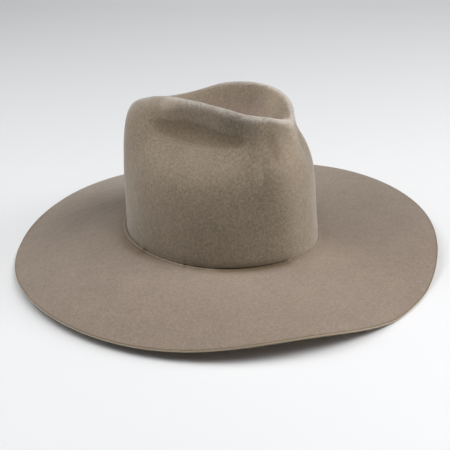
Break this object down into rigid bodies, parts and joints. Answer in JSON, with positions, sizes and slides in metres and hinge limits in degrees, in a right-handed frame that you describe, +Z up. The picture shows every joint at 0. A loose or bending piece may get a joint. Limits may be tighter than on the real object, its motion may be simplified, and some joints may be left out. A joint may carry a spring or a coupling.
{
  "type": "fedora",
  "caption": "Wide-brimmed pinch-front felt fedora with a teardrop crown, blocked from one piece of felt and open underneath.",
  "frame": {"origin": "on the surface that the hat lies on, under the middle of its bounding box", "axes": "+Z up, -Y the hat's front, +X the wearer's left"},
  "size_m": [0.3962, 0.4212, 0.1634],
  "materials": {
    "felt": "matt wool felt, taupe"
  },
  "bodies": {
    "root": {"felt_body": "felt"}
  },
  "joints": []
}
